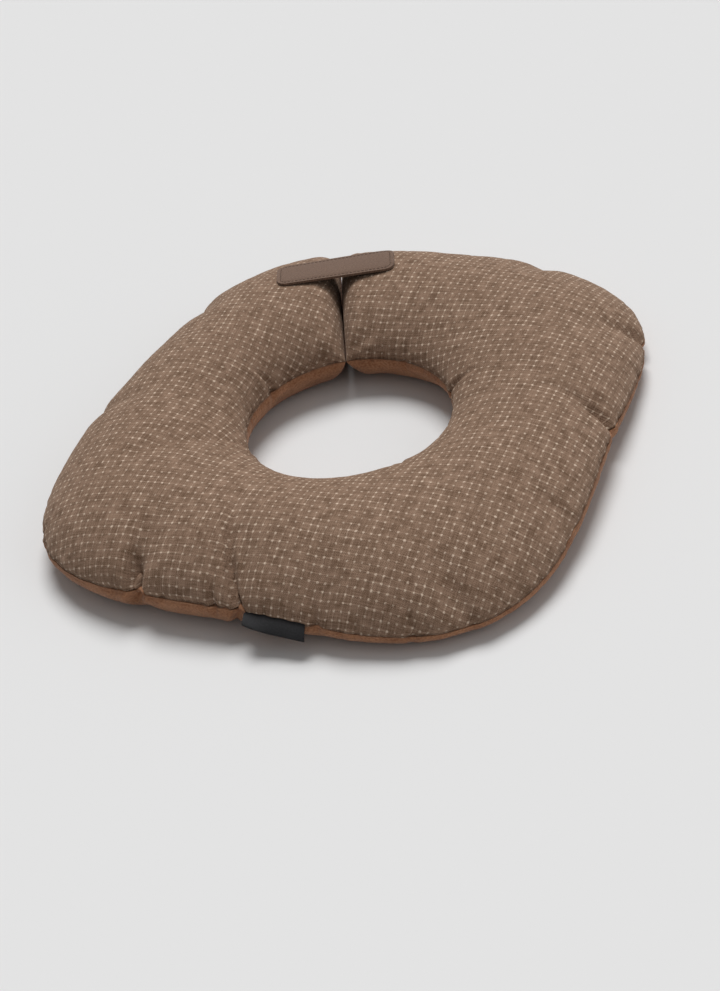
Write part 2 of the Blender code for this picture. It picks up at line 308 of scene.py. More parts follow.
def cover_skin(shares, rise):
    """Points of one cover's skin, column by column, and the panel's length out to each."""
    points, runs = [], []
    for column in columns:
        row = []
        for share in shares:
            radius = NECK_DIAMETER / 2 + column["wide"] * share
            level = NECK_SEAM_HEIGHT + (column["seam"] - NECK_SEAM_HEIGHT) * share
            z = level + rise(column, share) * end_rounding(column, share)
            row.append(Vector((radius * column["cos"], radius * column["sin"], z)) + shift)
        run = [0.0]
        for inner, outer in zip(row, row[1:]):
            run.append(run[-1] + (outer - inner).length)
        points.append(row)
        runs.append(run)
    return points, runs


SLIT_END_REACH = 15.0
slit_turn = math.radians(SLIT_BEARING)
slit_side = Vector((-math.sin(slit_turn), math.cos(slit_turn)))


def turned_in(points):
    """Cloth that each point takes round the slit's rounded ends, beyond its way in plan."""
    spare = [[0.0] * len(row) for row in points]
    near = sum(column["off_slit"] < SLIT_END_REACH for column in columns) // 2
    towards_slit = [(range(near, -1, -1), -1.0), (range(len(points) - 1 - near, len(points)), 1.0)]
    for order, way in towards_slit:
        for before, after in zip(order, order[1:]):
            for k, point in enumerate(points[after]):
                step = point - points[before][k]
                spare[after][k] = spare[before][k] + way * (step.length - step.xy.length)
    return spare


def cover_mesh(name, shares, rise):
    """One stuffed cover: its skin, closed by the flat face inside the seams."""
    points, runs = cover_skin(shares, rise)
    spare = turned_in(points)
    last = len(shares) - 1
    mesh = bmesh.new()
    bmesh.ops.create_grid(mesh, x_segments=len(columns) - 1, y_segments=2 * last, size=0.5)
    sheet = mesh.loops.layers.uv.new("fabric")
    bearing = mesh.verts.layers.float.new("bearing")
    from_neck = mesh.verts.layers.float.new("from_neck")
    from_outer = mesh.verts.layers.float.new("from_outer")
    round_end = mesh.verts.layers.float.new("round_end")
    skin = mesh.verts.layers.float.new("skin")
    for vertex in mesh.verts:
        i = round((vertex.co.x + 0.5) * (len(columns) - 1))
        k = round((vertex.co.y + 0.5) * 2 * last)
        row = k if k <= last else 2 * last - k
        at_end = i in (0, len(columns) - 1)
        vertex[bearing] = columns[i]["bearing"]
        vertex[from_neck] = runs[i][row]
        vertex[from_outer] = runs[i][-1] - runs[i][row]
        vertex[round_end] = spare[i][row]
        vertex[skin] = 1.0 if 0 < k < last and not at_end else 0.0
        neck, outer = points[i][0], points[i][last]
        inside = k > last and not at_end
        vertex.co = neck + (outer - neck) * shares[row] if inside else points[i][row]
    for face in mesh.faces:
        for loop in face.loops:
            turn = math.radians(loop.vert[bearing])
            flat = NECK_DIAMETER / 2 + loop.vert[from_neck]
            beyond = slit_side * loop.vert[round_end]
            loop[sheet].uv = (flat * math.cos(turn) + beyond.x, flat * math.sin(turn) + beyond.y)
    bmesh.ops.remove_doubles(mesh, verts=mesh.verts, dist=0.000002)
    bmesh.ops.recalc_face_normals(mesh, faces=mesh.faces)
    data = bpy.data.meshes.new(name)
    mesh.to_mesh(data)
    mesh.free()
    return data


CLOTH_FRAMES = 24
CLOTH_CAP = 0.007
# Within about this way of a seam both covers are pushed level with the floor, together
SEAM_REACH = 0.010


def values(data, name):
    """One number of each vertex of a mesh, from its attribute of that name."""
    return [spot.value for spot in data.attributes[name].data]


def filled(piece):
    """Lets the cover buckle: its panel is longer round the rim than the sewn seam."""
    data = piece.data
    skin, bearing, from_neck = [values(data, n) for n in ("skin", "bearing", "from_neck")]
    held = piece.vertex_groups.new(name="sewn")
    piece.shape_key_add(name="sewn_form")
    flat = piece.shape_key_add(name="flat_panel")
    before = [vertex.co.copy() for vertex in data.vertices]
    for k, vertex in enumerate(data.vertices):
        on_floor = vertex.co.z < 0.0001
        if skin[k] < 0.5 or on_floor:
            held.add([k], 1.0, "REPLACE")
        turn = math.radians(bearing[k])
        radius = NECK_DIAMETER / 2 + from_neck[k]
        flat.data[k].co = (radius * math.cos(turn), radius * math.sin(turn), 0.0)
    cloth = piece.modifiers.new("filling", "CLOTH")
    settings = cloth.settings
    settings.quality = 6
    settings.mass = 0.0005
    settings.tension_stiffness = 8
    settings.compression_stiffness = 8
    settings.shear_stiffness = 2
    settings.bending_stiffness = 0.0005
    settings.use_pressure = True
    settings.uniform_pressure_force = 40.0
    settings.vertex_group_mass = "sewn"
    settings.rest_shape_key = flat
    settings.effector_weights.gravity = 0.0
    cloth.point_cache.frame_start = 1
    cloth.point_cache.frame_end = CLOTH_FRAMES
    for moment in range(1, CLOTH_FRAMES + 1):
        bpy.context.scene.frame_set(moment)
    ready = piece.evaluated_get(bpy.context.evaluated_depsgraph_get())
    result = bpy.data.meshes.new_from_object(ready)
    for vertex, start in zip(result.vertices, before):
        move = vertex.co - start
        if move.length > CLOTH_CAP:
            move.length = CLOTH_CAP
        vertex.co = start + move
    piece.modifiers.clear()
    piece.shape_key_clear()
    piece.data = result
    piece.vertex_groups.clear()
    bpy.context.scene.frame_set(1)


def cover_piece(name, shares, rise, side, offset):
    piece = bpy.data.objects.new(name, cover_mesh(name, shares, rise))
    bpy.context.collection.objects.link(piece)
    filled(piece)
    finer = piece.modifiers.new("finer", "SUBSURF")
    finer.levels = finer.render_levels = 1
    ready = piece.evaluated_get(bpy.context.evaluated_depsgraph_get())
    data = bpy.data.meshes.new_from_object(ready)
    piece.modifiers.clear()
    piece.data = data
    normals = [vertex.normal.copy() for vertex in data.vertices]
    names = ("bearing", "from_outer", "from_neck")
    bearing, from_outer, from_neck = [values(data, n) for n in names]
    for k, vertex in enumerate(data.vertices):
        off = relief(vertex.co, bearing[k], from_outer[k], from_neck[k], side)
        turn = math.radians(bearing[k])
        at_seam = math.exp(-from_outer[k] / SEAM_REACH) - math.exp(-from_neck[k] / SEAM_REACH)
        level = Vector((math.cos(turn), math.sin(turn), 0.0)) * at_seam
        vertex.co += normals[k].lerp(level.normalized(), abs(at_seam)).normalized() * off
        vertex.co.z = max(vertex.co.z + offset, 0.0)
    data.shade_smooth()
    return piece


# Upper cover
# A soft woven cotton in taupe with a fine cream windowpane check, cut as one panel with
# its threads along the collar's sides, and rounded up by the stuffing behind it.
UPPER_ROWS = 22
upper_turns = [math.pi * k / UPPER_ROWS for k in range(UPPER_ROWS + 1)]
upper_shares = [((1.0 - math.cos(turn)) / 2) ** (1.0 / CREST_SHIFT) for turn in upper_turns]
upper = cover_piece("upper_fabric_cover", upper_shares, crown_rise, "upper", COVER_GAP / 2)


def linear(code):
    """Linear colour of an sRGB hex value."""
    parts = [int(code[k:k + 2], 16) / 255 for k in (0, 2, 4)]
    return [p / 12.92 if p <= 0.04045 else ((p + 0.055) / 1.055) ** 2.4 for p in parts] + [1.0]


def add(tree, kind, settings, links):
    """Adds a node: settings are its own properties, links its inputs' values or sources."""
    node = tree.nodes.new(kind)
    for name, value in settings.items():
        setattr(node, name, value)
    for name, value in links.items():
        if isinstance(value, bpy.types.NodeSocket):
            tree.links.new(value, node.inputs[name])
        else:
            node.inputs[name].default_value = value
    return node


# Woven cotton check: matt and slightly fuzzy, with raised cream yarns 6 mm apart both
# ways, brightest where two of them cross, on a mottled taupe ground
CHECK_PITCH = 0.0060
CHECK_YARN = 0.00056
GROUND_YARN = 0.00080
WAVER_LENGTH = 0.026
WAVER_SHIFT = 0.0022
SLUB_LENGTH = 0.0024
SUNKEN_PATCH = 0.016
STREAK_LENGTH = 0.0105
STREAK_WIDTH = 0.00105
DYE_PATCH = 0.009
check = bpy.data.materials.new("woven_cotton_check")
check.use_nodes = True
tree = check.node_tree
surface = tree.nodes["Principled BSDF"]
panel_place = add(tree, "ShaderNodeUVMap", {"uv_map": "fabric"}, {})
waver = add(tree, "ShaderNodeTexNoise", {}, {
    "Vector": panel_place.outputs["UV"], "Scale": 1.0 / WAVER_LENGTH, "Detail": 2.0,
})
centred = add(tree, "ShaderNodeVectorMath", {"operation": "SUBTRACT"}, {0: waver.outputs["Color"], 1: (0.5, 0.5, 0.5)})
drift = add(tree, "ShaderNodeVectorMath", {"operation": "SCALE"}, {0: centred.outputs[0], "Scale": WAVER_SHIFT})
place = add(tree, "ShaderNodeVectorMath", {"operation": "ADD"}, {0: panel_place.outputs["UV"], 1: drift.outputs[0]})
cells = add(tree, "ShaderNodeVectorMath", {"operation": "SCALE"}, {0: place.outputs[0], "Scale": 1.0 / CHECK_PITCH})
axes = add(tree, "ShaderNodeSeparateXYZ", {}, {0: cells.outputs[0]})
# Slubs make each yarn thicker and thinner along its length
slub = add(tree, "ShaderNodeTexNoise", {}, {
    "Vector": panel_place.outputs["UV"], "Scale": 1.0 / SLUB_LENGTH, "Detail": 2.0,
})
slub_width = add(tree, "ShaderNodeMapRange", {}, {
    "Value": slub.outputs["Fac"], "From Min": 0.35, "From Max": 0.65,
    "To Min": 0.55 * CHECK_YARN / CHECK_PITCH, "To Max": 1.25 * CHECK_YARN / CHECK_PITCH,
})
yarns, knots = [], []
for axis in ("X", "Y"):
    part = add(tree, "ShaderNodeMath", {"operation": "FRACT"}, {0: axes.outputs[axis]})
    middle = add(tree, "ShaderNodeMath", {"operation": "SUBTRACT"}, {0: part.outputs[0], 1: 0.5})
    away = add(tree, "ShaderNodeMath", {"operation": "ABSOLUTE"}, {0: middle.outputs[0]})
    near = add(tree, "ShaderNodeMath", {"operation": "DIVIDE"}, {0: away.outputs[0], 1: slub_width.outputs[0]})
    yarn = add(tree, "ShaderNodeMapRange", {"interpolation_type": "SMOOTHSTEP"}, {
        "Value": near.outputs[0], "From Min": 1.3, "From Max": 0.35, "To Min": 0.0, "To Max": 1.0,
    })
    yarns.append(yarn.outputs[0])
    knot = add(tree, "ShaderNodeMapRange", {"interpolation_type": "SMOOTHSTEP"}, {
        "Value": near.outputs[0], "From Min": 2.1, "From Max": 0.8, "To Min": 0.0, "To Max": 1.0,
    })
    knots.append(knot.outputs[0])
either = add(tree, "ShaderNodeMath", {"operation": "MAXIMUM"}, {0: yarns[0], 1: yarns[1]})
crossing = add(tree, "ShaderNodeMath", {"operation": "MULTIPLY"}, {0: knots[0], 1: knots[1]})
# In places a yarn sinks into the ground and only its crossings show
sunken = add(tree, "ShaderNodeTexNoise", {}, {
    "Vector": panel_place.outputs["UV"], "Scale": 1.0 / SUNKEN_PATCH, "Detail": 3.0,
})
showing = add(tree, "ShaderNodeMapRange", {}, {
    "Value": sunken.outputs["Fac"], "From Min": 0.45, "From Max": 0.67, "To Min": 0.04, "To Max": 0.30,
})
bright = add(tree, "ShaderNodeMapRange", {}, {
    "Value": sunken.outputs["Fac"], "From Min": 0.37, "From Max": 0.61, "To Min": 0.36, "To Max": 0.82,
})
# The plain weave of the ground, over and under, drawn a little coarse so that it shows
ground = add(tree, "ShaderNodeVectorMath", {"operation": "SCALE"}, {
    0: panel_place.outputs["UV"], "Scale": math.pi / GROUND_YARN,
})
ground_axes = add(tree, "ShaderNodeSeparateXYZ", {}, {0: ground.outputs[0]})
warp = add(tree, "ShaderNodeMath", {"operation": "SINE"}, {0: ground_axes.outputs["X"]})
weft = add(tree, "ShaderNodeMath", {"operation": "SINE"}, {0: ground_axes.outputs["Y"]})
weave = add(tree, "ShaderNodeMath", {"operation": "MULTIPLY"}, {0: warp.outputs[0], 1: weft.outputs[0]})
# Mottling: yarns spun of mixed brown and grey-beige, each darker and lighter along its
# length, the warp's showing where it lies on top and the weft's between, and uneven dye
streaks = []
for long, wide in ((STREAK_LENGTH, STREAK_WIDTH), (STREAK_WIDTH, STREAK_LENGTH)):
    spun = add(tree, "ShaderNodeVectorMath", {"operation": "MULTIPLY"}, {
        0: panel_place.outputs["UV"], 1: (1.0 / long, 1.0 / wide, 1.0),
    })
    streak = add(tree, "ShaderNodeTexNoise", {}, {"Vector": spun.outputs[0], "Scale": 1.0, "Detail": 2.0})
    streaks.append(streak.outputs["Fac"])
on_top = add(tree, "ShaderNodeMapRange", {}, {"Value": weave.outputs[0], "From Min": -0.4, "From Max": 0.4})
melange = add(tree, "ShaderNodeMix", {"data_type": "FLOAT"}, {"Factor": on_top.outputs[0], 2: streaks[0], 3: streaks[1]})
dye = add(tree, "ShaderNodeTexNoise", {}, {
    "Vector": panel_place.outputs["UV"], "Scale": 1.0 / DYE_PATCH, "Detail": 2.0,
})
mixed = add(tree, "ShaderNodeMath", {"operation": "MULTIPLY_ADD"}, {0: dye.outputs["Fac"], 1: 0.55, 2: melange.outputs[0]})
tone = add(tree, "ShaderNodeMapRange", {}, {"Value": mixed.outputs[0], "From Min": 0.58, "From Max": 0.97})
ground_colour = add(tree, "ShaderNodeMix", {"data_type": "RGBA"}, {
    "Factor": tone.outputs[0], 6: linear("684f3c"), 7: linear("9b7f6b"),
})
light_yarn = add(tree, "ShaderNodeMath", {"operation": "MULTIPLY"}, {0: either.outputs[0], 1: showing.outputs[0]})
with_yarn = add(tree, "ShaderNodeMix", {"data_type": "RGBA"}, {
    "Factor": light_yarn.outputs[0], 6: ground_colour.outputs[2], 7: linear("d3b9a3"),
})
dot = add(tree, "ShaderNodeMath", {"operation": "MULTIPLY"}, {0: crossing.outputs[0], 1: bright.outputs[0]})
with_dots = add(tree, "ShaderNodeMix", {"data_type": "RGBA"}, {
    "Factor": dot.outputs[0], 6: with_yarn.outputs[2], 7: linear("e2ccb7"),
})
tree.links.new(with_dots.outputs[2], surface.inputs["Base Color"])
height = add(tree, "ShaderNodeMath", {"operation": "MULTIPLY_ADD"}, {0: either.outputs[0], 1: 1.2, 2: weave.outputs[0]})
rough_height = add(tree, "ShaderNodeMath", {"operation": "MULTIPLY_ADD"}, {0: melange.outputs[0], 1: 1.6, 2: height.outputs[0]})
bump = add(tree, "ShaderNodeBump", {}, {"Height": rough_height.outputs[0], "Strength": 0.6, "Distance": 0.00016})
tree.links.new(bump.outputs[0], surface.inputs["Normal"])
surface.inputs["Roughness"].default_value = 0.92
surface.inputs["IOR"].default_value = 1.45
surface.inputs["Specular IOR Level"].default_value = 0.25
surface.inputs["Sheen Weight"].default_value = 0.18
surface.inputs["Sheen Roughness"].default_value = 0.5
surface.inputs["Sheen Tint"].default_value = linear("d9c6b4")
upper.data.materials.append(check)
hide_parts("upper_cover")
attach(upper, "root")


# Lower cover
# A plain woven cotton in rust brown, sewn to the upper cover all round. It shows as a
# narrow strip beneath the seam, and lies flat where the collar rests.
SHOULDER_ROWS = 8
inner_shares = [
    SHOULDER / (WIDTH / 2 - NECK_DIAMETER / 2) * (1.0 - math.cos(math.pi / 2 * k / SHOULDER_ROWS))
    for k in range(SHOULDER_ROWS + 1)
]
flat_rows = [inner_shares[-1] + (1.0 - 2 * inner_shares[-1]) * k / 8 for k in range(1, 8)]
lower_shares = inner_shares + flat_rows + [1.0 - share for share in reversed(inner_shares)]
lower = cover_piece("lower_fabric_cover", lower_shares, floor_drop, "lower", -COVER_GAP / 2)

# Plain woven cotton: matt, with a slightly uneven rust dye and a fine over-and-under weave
RUST_FIBRE = 0.00185
RUST_DYE_PATCH = 0.017
rust = bpy.data.materials.new("woven_cotton_rust")
rust.use_nodes = True
tree = rust.node_tree
surface = tree.nodes["Principled BSDF"]
panel_place = add(tree, "ShaderNodeUVMap", {"uv_map": "fabric"}, {})
ground = add(tree, "ShaderNodeVectorMath", {"operation": "SCALE"}, {
    0: panel_place.outputs["UV"], "Scale": math.pi / GROUND_YARN,
})
ground_axes = add(tree, "ShaderNodeSeparateXYZ", {}, {0: ground.outputs[0]})
warp = add(tree, "ShaderNodeMath", {"operation": "SINE"}, {0: ground_axes.outputs["X"]})
weft = add(tree, "ShaderNodeMath", {"operation": "SINE"}, {0: ground_axes.outputs["Y"]})
weave = add(tree, "ShaderNodeMath", {"operation": "MULTIPLY"}, {0: warp.outputs[0], 1: weft.outputs[0]})
melange = add(tree, "ShaderNodeTexNoise", {}, {
    "Vector": panel_place.outputs["UV"], "Scale": 1.0 / RUST_FIBRE, "Detail": 1.0,
})
dye = add(tree, "ShaderNodeTexNoise", {}, {
    "Vector": panel_place.outputs["UV"], "Scale": 1.0 / RUST_DYE_PATCH, "Detail": 3.0,
})
mixed = add(tree, "ShaderNodeMath", {"operation": "MULTIPLY_ADD"}, {0: dye.outputs["Fac"], 1: 0.7, 2: melange.outputs["Fac"]})
tone = add(tree, "ShaderNodeMapRange", {}, {"Value": mixed.outputs[0], "From Min": 0.6, "From Max": 1.1})
rust_colour = add(tree, "ShaderNodeMix", {"data_type": "RGBA"}, {
    "Factor": tone.outputs[0], 6: linear("84583c"), 7: linear("ad7d5c"),
})
tree.links.new(rust_colour.outputs[2], surface.inputs["Base Color"])
rough_height = add(tree, "ShaderNodeMath", {"operation": "MULTIPLY_ADD"}, {0: melange.outputs["Fac"], 1: 1.6, 2: weave.outputs[0]})
bump = add(tree, "ShaderNodeBump", {}, {"Height": rough_height.outputs[0], "Strength": 0.6, "Distance": 0.00016})
tree.links.new(bump.outputs[0], surface.inputs["Normal"])
surface.inputs["Roughness"].default_value = 0.9
surface.inputs["Specular IOR Level"].default_value = 0.25
surface.inputs["Sheen Weight"].default_value = 0.15
lower.data.materials.append(rust)
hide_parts("lower_cover")
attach(lower, "root")


# Side label
# A woven tape folded in half and caught in the front seam with its fold outwards. The
# real one carries lettering; this one is bare.
LABEL_LENGTH = 0.045
LABEL_REACH = 0.0105
LABEL_BEARING = 277.0
LABEL_TAPE = 0.00036
LABEL_OPEN = 0.00050
LABEL_TUCK = 0.0025
LABEL_STATIONS = 48
LABEL_STEPS = 36


def label_section():
    """Points of the folded tape, outwards along its top and back along its underside."""
    straight = LABEL_REACH - LABEL_OPEN
    run = straight + LABEL_TUCK
    whole = 2 * run + math.pi * LABEL_OPEN
    section = []
    for k in range(LABEL_STEPS + 1):
        far = whole * (k / LABEL_STEPS)
        if far < run:
            section.append((far - LABEL_TUCK, LABEL_OPEN, far))
        elif far > whole - run:
            section.append((whole - far - LABEL_TUCK, -LABEL_OPEN, far))
        else:
            turn = (far - run) / LABEL_OPEN
            section.append((straight + LABEL_OPEN * math.sin(turn), LABEL_OPEN * math.cos(turn), far))
    return section


section = label_section()
mesh = bmesh.new()
bmesh.ops.create_grid(mesh, x_segments=LABEL_STATIONS, y_segments=LABEL_STEPS, size=0.5)
tape = mesh.loops.layers.uv.new("tape")
half_turn = math.degrees(LABEL_LENGTH / 2 / outline(LABEL_BEARING))
flats = {}
for vertex in mesh.verts:
    share = vertex.co.x + 0.5
    out, lift, far = section[round((vertex.co.y + 0.5) * LABEL_STEPS)]
    bearing = LABEL_BEARING + (share * 2 - 1) * half_turn
    turn = math.radians(bearing)
    reach = outline(bearing) - 0.0006
    foot = Vector((reach * math.cos(turn), reach * math.sin(turn), seam_height(bearing))) + shift
    level = Vector((math.cos(math.radians(LABEL_BEARING)), math.sin(math.radians(LABEL_BEARING)), 0.0))
    far_out = max(out, 0.0) / LABEL_REACH
    droop = math.radians(8.0 + 26.0 * share + 14.0 * far_out)
    wave = 0.0007 * far_out * math.sin(2.6 * math.pi * share + 0.6)
    outward = level * math.cos(droop) - Vector((0.0, 0.0, 1.0)) * math.sin(droop)
    upward = level * math.sin(droop) + Vector((0.0, 0.0, 1.0)) * math.cos(droop)
    flare = lift * (1.0 + 0.5 * math.sin(math.pi * share))
    vertex.co = foot + outward * out + upward * (flare + wave)
    flats[vertex] = (share * LABEL_LENGTH, far)
for face in mesh.faces:
    for loop in face.loops:
        loop[tape].uv = flats[loop.vert]
bmesh.ops.recalc_face_normals(mesh, faces=mesh.faces)
bmesh.ops.solidify(mesh, geom=mesh.faces, thickness=LABEL_TAPE)
bmesh.ops.recalc_face_normals(mesh, faces=mesh.faces)
label_data = bpy.data.meshes.new("folded_label")
mesh.to_mesh(label_data)
mesh.free()
label_data.shade_smooth()
label_data.set_sharp_from_angle(angle=math.radians(50))
label = bpy.data.objects.new("folded_label", label_data)
bpy.context.collection.objects.link(label)

# Damask-woven polyester tape: near black with a low satin sheen, fine ribs across it and
# fainter ribs crossing them
RIB_PITCH = 0.00042
LINT_SIZE = 0.0011
damask = bpy.data.materials.new("damask_label_tape")
damask.use_nodes = True
tree = damask.node_tree
surface = tree.nodes["Principled BSDF"]
tape_place = add(tree, "ShaderNodeUVMap", {"uv_map": "tape"}, {})
threads = add(tree, "ShaderNodeVectorMath", {"operation": "SCALE"}, {
    0: tape_place.outputs["UV"], "Scale": 2 * math.pi / RIB_PITCH,
})
thread_axes = add(tree, "ShaderNodeSeparateXYZ", {}, {0: threads.outputs[0]})
ribs = add(tree, "ShaderNodeMath", {"operation": "SINE"}, {0: thread_axes.outputs["Y"]})
ends = add(tree, "ShaderNodeMath", {"operation": "SINE"}, {0: thread_axes.outputs["X"]})
cloth_height = add(tree, "ShaderNodeMath", {"operation": "MULTIPLY_ADD"}, {0: ends.outputs[0], 1: 0.35, 2: ribs.outputs[0]})
lint = add(tree, "ShaderNodeTexNoise", {}, {
    "Vector": tape_place.outputs["UV"], "Scale": 1.0 / LINT_SIZE, "Detail": 2.0,
})
tape_tone = add(tree, "ShaderNodeMapRange", {}, {"Value": lint.outputs["Fac"], "From Min": 0.35, "From Max": 0.7})
tape_colour = add(tree, "ShaderNodeMix", {"data_type": "RGBA"}, {
    "Factor": tape_tone.outputs[0], 6: linear("141416"), 7: linear("232226"),
})
tree.links.new(tape_colour.outputs[2], surface.inputs["Base Color"])
bump = add(tree, "ShaderNodeBump", {}, {"Height": cloth_height.outputs[0], "Strength": 0.5, "Distance": 0.00008})
tree.links.new(bump.outputs[0], surface.inputs["Normal"])
surface.inputs["Roughness"].default_value = 0.62
surface.inputs["Specular IOR Level"].default_value = 0.35
label.data.materials.append(damask)
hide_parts("side_label")
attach(label, "root")


# Closing strap
# A plain cotton webbing tab, pulled taut over the slit at the nape. It is stitched down
# all round one end and pressed onto hook-and-loop tape at the other.
STRAP_LENGTH = 0.092
STRAP_WIDTH = 0.038
STRAP_THICKNESS = 0.0018
STRAP_CORNER = 0.008
STRAP_PLACE = 0.60
STRAP_GAP = 0.0004
STRAP_STATIONS = 64
STRAP_STEPS = 26
crown = BVHTree.FromObject(upper, bpy.context.evaluated_depsgraph_get())
strap_turn = math.radians(SLIT_BEARING)
outward = Vector((math.cos(strap_turn), math.sin(strap_turn), 0.0))
sideways = Vector((-outward.y, outward.x, 0.0))
neck_radius = NECK_DIAMETER / 2
strap_middle = outward * (neck_radius + (outline(SLIT_BEARING) - neck_radius) * STRAP_PLACE) + shift


def crown_height(spot):
    """Height of the crown at a spot; the slit has none."""
    hit = crown.ray_cast(Vector((spot.x, spot.y, 1.0)), Vector((0.0, 0.0, -1.0)))[0]
    return hit.z if hit else 0.0


def taut(heights):
    """Heights of a strap pulled tight over a row of evenly spaced heights."""
    hull = []
    for k, rise in enumerate(heights):
        while len(hull) > 1:
            (i, first), (m, second) = hull[-2:]
            if (second - first) * (k - i) > (rise - first) * (m - i):
                break
            hull.pop()
        hull.append((k, rise))
    tight = []
    for (i, first), (m, second) in zip(hull, hull[1:]):
        tight += [first + (second - first) * (k - i) / (m - i) for k in range(i, m)]
    return tight + [heights[-1]]


strap_rows = []
for step in range(STRAP_STEPS + 1):
    out = (step / STRAP_STEPS - 0.5) * STRAP_WIDTH
    spots = [strap_middle + outward * out + sideways * (k / STRAP_STATIONS - 0.5) * STRAP_LENGTH
             for k in range(STRAP_STATIONS + 1)]
    strap_rows.append(taut([crown_height(spot) for spot in spots]))


def strap_point(along, out, above):
    """Point on the strap: along and out from its middle, above its underside."""
    i = min(max((along / STRAP_LENGTH + 0.5) * STRAP_STATIONS, 0.0), STRAP_STATIONS - 0.001)
    k = min(max((out / STRAP_WIDTH + 0.5) * STRAP_STEPS, 0.0), STRAP_STEPS - 0.001)
    a, b, u, v = int(i), int(k), i - int(i), k - int(k)
    near = strap_rows[b][a] * (1 - u) + strap_rows[b][a + 1] * u
    far = strap_rows[b + 1][a] * (1 - u) + strap_rows[b + 1][a + 1] * u
    point = strap_middle + sideways * along + outward * out
    point.z = near * (1 - v) + far * v + STRAP_GAP + above
    return point


mesh = bmesh.new()
bmesh.ops.create_grid(mesh, x_segments=STRAP_STATIONS, y_segments=STRAP_STEPS, size=0.5)
webbing_place = mesh.loops.layers.uv.new("webbing")
flats = {}
for vertex in mesh.verts:
    along = vertex.co.x * STRAP_LENGTH
    beyond = max(abs(along) - (STRAP_LENGTH / 2 - STRAP_CORNER), 0.0)
    side = STRAP_WIDTH / 2 - STRAP_CORNER + math.sqrt(max(STRAP_CORNER ** 2 - beyond ** 2, 0.0))
    out = vertex.co.y * 2 * side
    rim = min(STRAP_LENGTH / 2 - abs(along), side - abs(out))
    pressed = 0.0006 * math.exp(-((rim - 0.003) / 0.0011) ** 2)
    vertex.co = strap_point(along, out, STRAP_THICKNESS - pressed)
    flats[vertex] = (along, out)
for face in mesh.faces:
    for loop in face.loops:
        loop[webbing_place].uv = flats[loop.vert]
bmesh.ops.recalc_face_normals(mesh, faces=mesh.faces)
if sum(face.normal.z for face in mesh.faces) < 0:
    bmesh.ops.reverse_faces(mesh, faces=mesh.faces)
bmesh.ops.solidify(mesh, geom=mesh.faces, thickness=STRAP_THICKNESS)
bmesh.ops.recalc_face_normals(mesh, faces=mesh.faces)
strap_data = bpy.data.meshes.new("webbing_strap")
mesh.to_mesh(strap_data)
mesh.free()
strap_data.shade_smooth()
strap_data.set_sharp_from_angle(angle=math.radians(60))
strap = bpy.data.objects.new("webbing_strap", strap_data)
bpy.context.collection.objects.link(strap)

# Cotton webbing: matt brown, with thick ribs across it and an uneven dye
WEBBING_RIB = 0.0013
WEBBING_FIBRE = 0.0014
webbing = bpy.data.materials.new("cotton_webbing")
webbing.use_nodes = True
tree = webbing.node_tree
surface = tree.nodes["Principled BSDF"]
strap_place = add(tree, "ShaderNodeUVMap", {"uv_map": "webbing"}, {})
threads = add(tree, "ShaderNodeVectorMath", {"operation": "SCALE"}, {
    0: strap_place.outputs["UV"], "Scale": 2 * math.pi / WEBBING_RIB,
})
thread_axes = add(tree, "ShaderNodeSeparateXYZ", {}, {0: threads.outputs[0]})
across_ribs = add(tree, "ShaderNodeMath", {"operation": "SINE"}, {0: thread_axes.outputs["X"]})
along_ribs = add(tree, "ShaderNodeMath", {"operation": "SINE"}, {0: thread_axes.outputs["Y"]})
basket = add(tree, "ShaderNodeMath", {"operation": "MULTIPLY"}, {0: across_ribs.outputs[0], 1: along_ribs.outputs[0]})
fibre = add(tree, "ShaderNodeTexNoise", {}, {
    "Vector": strap_place.outputs["UV"], "Scale": 1.0 / WEBBING_FIBRE, "Detail": 2.0,
})
strap_tone = add(tree, "ShaderNodeMath", {"operation": "MULTIPLY_ADD"}, {0: basket.outputs[0], 1: 0.22, 2: fibre.outputs["Fac"]})
strap_colour = add(tree, "ShaderNodeMix", {"data_type": "RGBA"}, {
    "Factor": strap_tone.outputs[0], 6: linear("5d4739"), 7: linear("8d7261"),
})
tree.links.new(strap_colour.outputs[2], surface.inputs["Base Color"])
strap_height = add(tree, "ShaderNodeMath", {"operation": "MULTIPLY_ADD"}, {0: fibre.outputs["Fac"], 1: 0.8, 2: basket.outputs[0]})
bump = add(tree, "ShaderNodeBump", {}, {"Height": strap_height.outputs[0], "Strength": 0.7, "Distance": 0.00025})
tree.links.new(bump.outputs[0], surface.inputs["Normal"])
surface.inputs["Roughness"].default_value = 0.9
surface.inputs["Specular IOR Level"].default_value = 0.25
surface.inputs["Sheen Weight"].default_value = 0.15
strap.data.materials.append(webbing)
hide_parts("closing_strap")
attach(strap, "root")


# Strap stitching
# A lockstitch in thread a shade darker than the webbing, run round the whole tab a few
# millimetres in, and across it beside the slit on its fixed end.
STITCH_LENGTH = 0.0024
STITCH_PITCH = 0.0031
STITCH_THICKNESS = 0.0007
STITCH_INSET = 0.0030
inset_corner = STRAP_CORNER - STITCH_INSET
half_long = STRAP_LENGTH / 2 - STITCH_INSET
half_wide = STRAP_WIDTH / 2 - STITCH_INSET


def run_of_stitches(corners):
    """Middles and directions of stitches along a path of straight runs."""
    spots = []
    for (x0, y0), (x1, y1) in zip(corners, corners[1:]):
        long = math.hypot(x1 - x0, y1 - y0)
        count = max(round(long / STITCH_PITCH), 1)
        for k in range(count):
            share = (k + 0.5) / count
            spots.append((x0 + (x1 - x0) * share, y0 + (y1 - y0) * share, (x1 - x0) / long, (y1 - y0) / long))
    return spots


